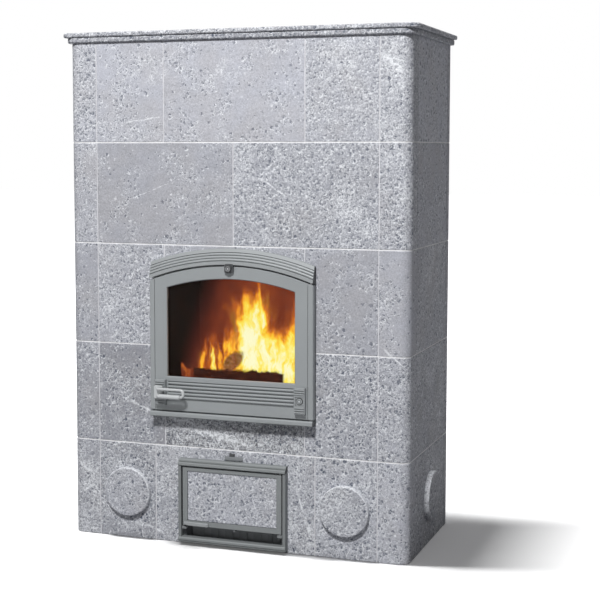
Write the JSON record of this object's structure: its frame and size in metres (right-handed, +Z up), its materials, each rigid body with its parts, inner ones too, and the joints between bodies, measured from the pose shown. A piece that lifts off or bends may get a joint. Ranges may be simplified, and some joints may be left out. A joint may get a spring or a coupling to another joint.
{
  "type": "tiled stove",
  "caption": "Stone clad heat storing wood stove with an arched glass fire door, a small ash door, soot covers and a cornice.",
  "frame": {"origin": "floor level at the middle of the body's footprint, on the floor mount", "axes": "+Z up; +X to the right of someone facing the fire door; -Y out of the front, so the flue leaves towards +Y"},
  "size_m": [1.071, 0.5458, 1.48],
  "materials": {
    "soapstone_face": "satin",
    "soapstone_corner": "satin",
    "soapstone_side": "satin",
    "soapstone_slab": "satin",
    "soapstone_cover": "satin",
    "mortar": "matte",
    "core_stone": "matte",
    "hearth_iron": "rough",
    "bar_steel": "matte",
    "sheet_steel": "satin",
    "grey_enamel": "satin",
    "dark_iron": "satin",
    "seal_rope": "matte",
    "door_glass": "gloss",
    "screw_steel": "satin",
    "knob_metal": "polished"
  },
  "bodies": {
    "stove": {"left_corner_stones": "soapstone_corner", "right_corner_stones": "soapstone_corner", "left_side_stones": "soapstone_side", "right_side_stones": "soapstone_side", "back_stones": "soapstone_side", "bottom_course_stones": "soapstone_face", "fourth_course_stones": "soapstone_face", "third_course_stones": "soapstone_face", "second_course_stones": "soapstone_face", "top_course_stones": "soapstone_face", "bed_mortar": "mortar", "joint_mortar": "mortar", "cornice_lower": "soapstone_slab", "cornice_upper": "soapstone_slab", "base_slab": "core_stone", "ash_chamber_walls": "core_stone", "core_piers": "core_stone", "hearth_slab": "core_stone", "firebox_side_linings": "core_stone", "firebox_rear_lining": "core_stone", "core_side_walls": "core_stone", "core_rear_wall": "core_stone", "core_front_wall": "core_stone", "throat_stones": "core_stone", "ceiling_slab": "core_stone", "grate": "hearth_iron", "lintel_bar": "bar_steel", "frame_brackets": "bar_steel", "fire_door_hinge_pins": "bar_steel", "ash_door_hinge_pins": "bar_steel", "flue_collar": "sheet_steel", "ash_pan_runners": "sheet_steel", "fire_door_frame": "grey_enamel", "fire_door_hood": "grey_enamel", "fire_door_sill": "grey_enamel", "ash_door_frame": "grey_enamel", "ash_door_hood": "grey_enamel", "ash_door_sill": "grey_enamel"},
    "fire_door": {"fire_door_leaf": "grey_enamel", "fire_door_gasket": "seal_rope", "fire_door_glass": "door_glass", "glass_gasket": "seal_rope", "glass_clips": "bar_steel", "clip_screws": "screw_steel", "hinge_block": "grey_enamel", "handle_block": "grey_enamel"},
    "fire_door_latch_bar": {"fire_door_handle": "grey_enamel", "fire_door_latch": "dark_iron"},
    "air_shutter": {"airwash_shutter": "grey_enamel", "airwash_knob": "knob_metal"},
    "ash_door": {"ash_door_leaf": "grey_enamel", "ash_door_stone": "soapstone_cover"},
    "ash_latch_bar": {"ash_door_handle": "grey_enamel", "ash_door_latch": "dark_iron"},
    "air_slide": {"primary_air_slide": "sheet_steel"},
    "ash_drawer": {"ash_pan": "sheet_steel"},
    "soot_cover_front_left": {"front_left_soot_cover": "soapstone_cover"},
    "soot_cover_front_right": {"front_right_soot_cover": "soapstone_cover"},
    "soot_cover_side_left": {"left_side_soot_cover": "soapstone_cover"},
    "soot_cover_side_right": {"right_side_soot_cover": "soapstone_cover"}
  },
  "joints": [
    {"name": "fire_door_hinge", "type": "hinge", "parent": "stove", "child": "fire_door", "pos_m": [0.24, -0.252, 0.6], "axis": [0, 0, 1], "range_deg": [0, 110]},
    {"name": "fire_door_handle_turn", "type": "hinge", "parent": "fire_door", "child": "fire_door_latch_bar", "pos_m": [-0.206, -0.27, 0.448], "axis": [0, -1, 0], "range_deg": [-25, 35]},
    {"name": "air_shutter_swing", "type": "hinge", "parent": "fire_door", "child": "air_shutter", "pos_m": [0, -0.247, 0.1285], "axis": [0, -1, 0], "range_deg": [-0.7, 0.7]},
    {"name": "ash_door_hinge", "type": "hinge", "parent": "stove", "child": "ash_door", "pos_m": [0.147, -0.2445, 0.143], "axis": [0, 0, 1], "range_deg": [0, 110]},
    {"name": "ash_door_latch_turn", "type": "hinge", "parent": "ash_door", "child": "ash_latch_bar", "pos_m": [-0.128, -0.2425, 0.066], "axis": [0, -1, 0], "range_deg": [-20, 12]},
    {"name": "primary_air_shift", "type": "slide", "parent": "stove", "child": "air_slide", "axis": [1, 0, 0], "range_m": [-0.022, 0.022]},
    {"name": "ash_pan_draw", "type": "slide", "parent": "stove", "child": "ash_drawer", "axis": [0, -1, 0], "range_m": [0, 0.192]},
    {"name": "soot_cover_front_left_draw", "type": "slide", "parent": "stove", "child": "soot_cover_front_left", "axis": [0, -1, 0], "range_m": [0, 0.06]},
    {"name": "soot_cover_front_right_draw", "type": "slide", "parent": "stove", "child": "soot_cover_front_right", "axis": [0, -1, 0], "range_m": [0, 0.06]},
    {"name": "soot_cover_side_left_draw", "type": "slide", "parent": "stove", "child": "soot_cover_side_left", "axis": [-1, 0, 0], "range_m": [0, 0.06]},
    {"name": "soot_cover_side_right_draw", "type": "slide", "parent": "stove", "child": "soot_cover_side_right", "axis": [1, 0, 0], "range_m": [0, 0.06]}
  ],
  "couplings": [
    {"joint": "ash_pan_draw", "follows": "ash_door_hinge", "m_per_rad": 0.1}
  ]
}
